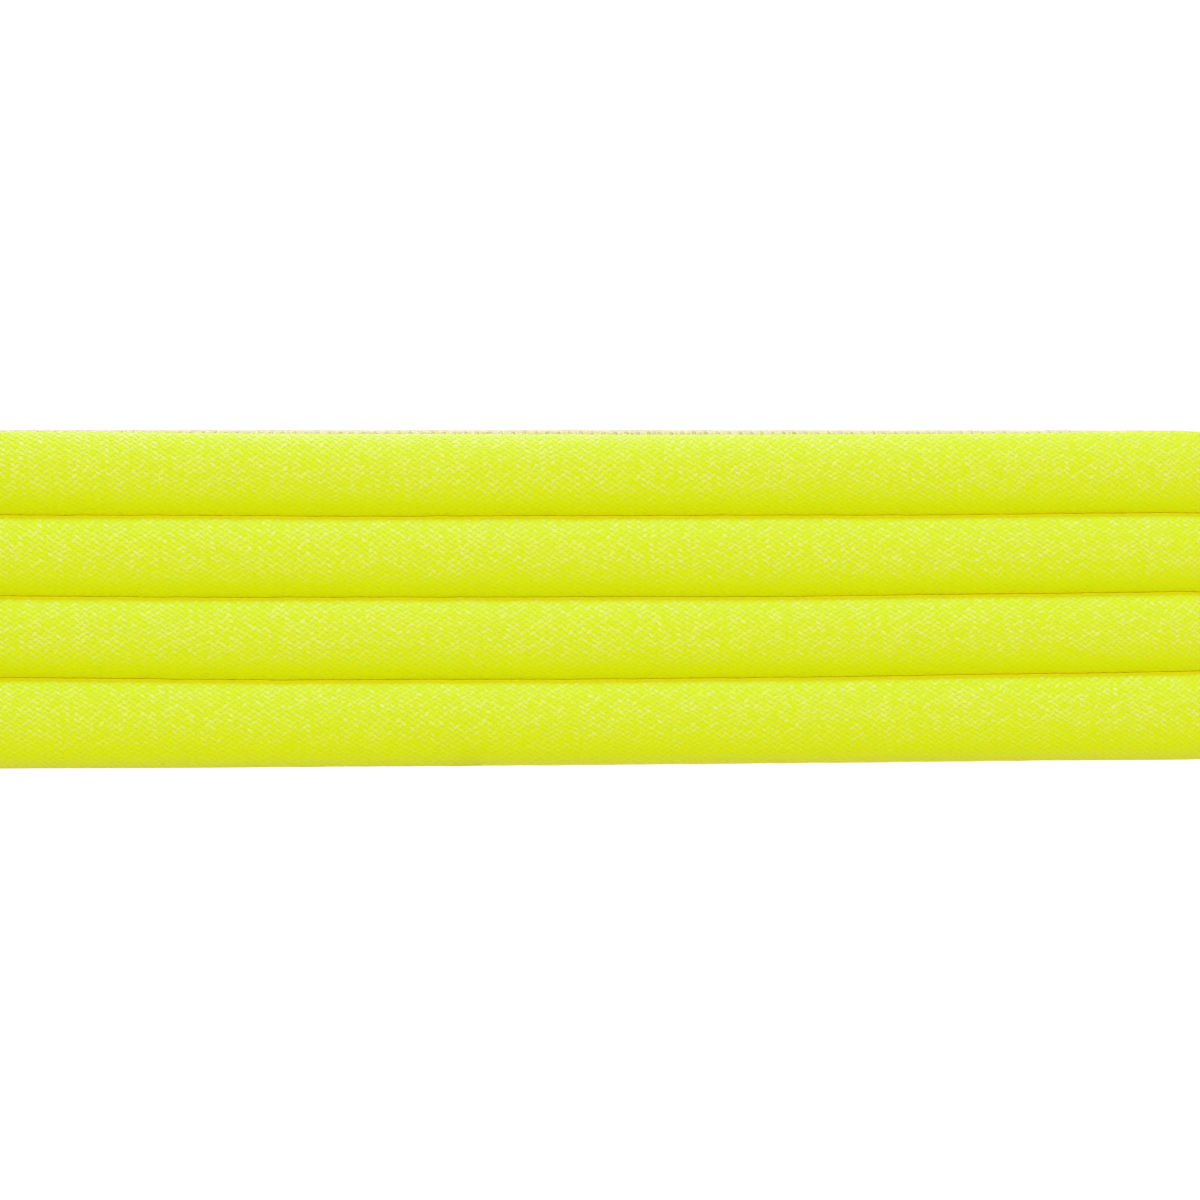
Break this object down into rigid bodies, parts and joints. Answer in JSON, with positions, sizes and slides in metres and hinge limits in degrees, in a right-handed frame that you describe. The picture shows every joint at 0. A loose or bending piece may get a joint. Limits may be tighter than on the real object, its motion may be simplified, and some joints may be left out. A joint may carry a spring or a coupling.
{
  "type": "sweat wristband",
  "caption": "Narrow neon yellow padded sweat wristband with quilted horizontal ribs, an absorbent natural lining and a taped cross seam.",
  "frame": {"origin": "middle of the lower edge, on the surface that the band stands on", "axes": "+Z along the wrist, X along the flattened width from fold to fold, the show face towards -Y and the cross seam at +Y"},
  "size_m": [0.088, 0.017, 0.022],
  "materials": {
    "neon_knit": "fine neon yellow jersey knit with a soft sheen",
    "natural_lining": "natural brushed terry",
    "pad_fill": "soft white absorbent filling",
    "elastic_webbing": "woven white elastic webbing",
    "neon_thread": "neon yellow sewing thread",
    "natural_thread": "natural sewing thread",
    "tape_webbing": "natural twill tape"
  },
  "bodies": {
    "root": {"outer_shell": "neon_knit", "inner_lining": "natural_lining", "elastic_band": "elastic_webbing", "rib_pad_bottom": "pad_fill", "rib_pad_lower": "pad_fill", "rib_pad_upper": "pad_fill", "rib_pad_top": "pad_fill", "channel_stitch_lower": "neon_thread", "channel_stitch_middle": "neon_thread", "channel_stitch_upper": "neon_thread", "bobbin_thread_lower": "natural_thread", "bobbin_thread_middle": "natural_thread", "bobbin_thread_upper": "natural_thread", "bottom_edge_seam": "natural_thread", "top_edge_seam": "natural_thread", "closing_seam": "neon_thread", "seam_tape": "tape_webbing", "seam_tape_stitches": "natural_thread", "bartack_bottom": "natural_thread", "bartack_top": "natural_thread"}
  },
  "joints": []
}
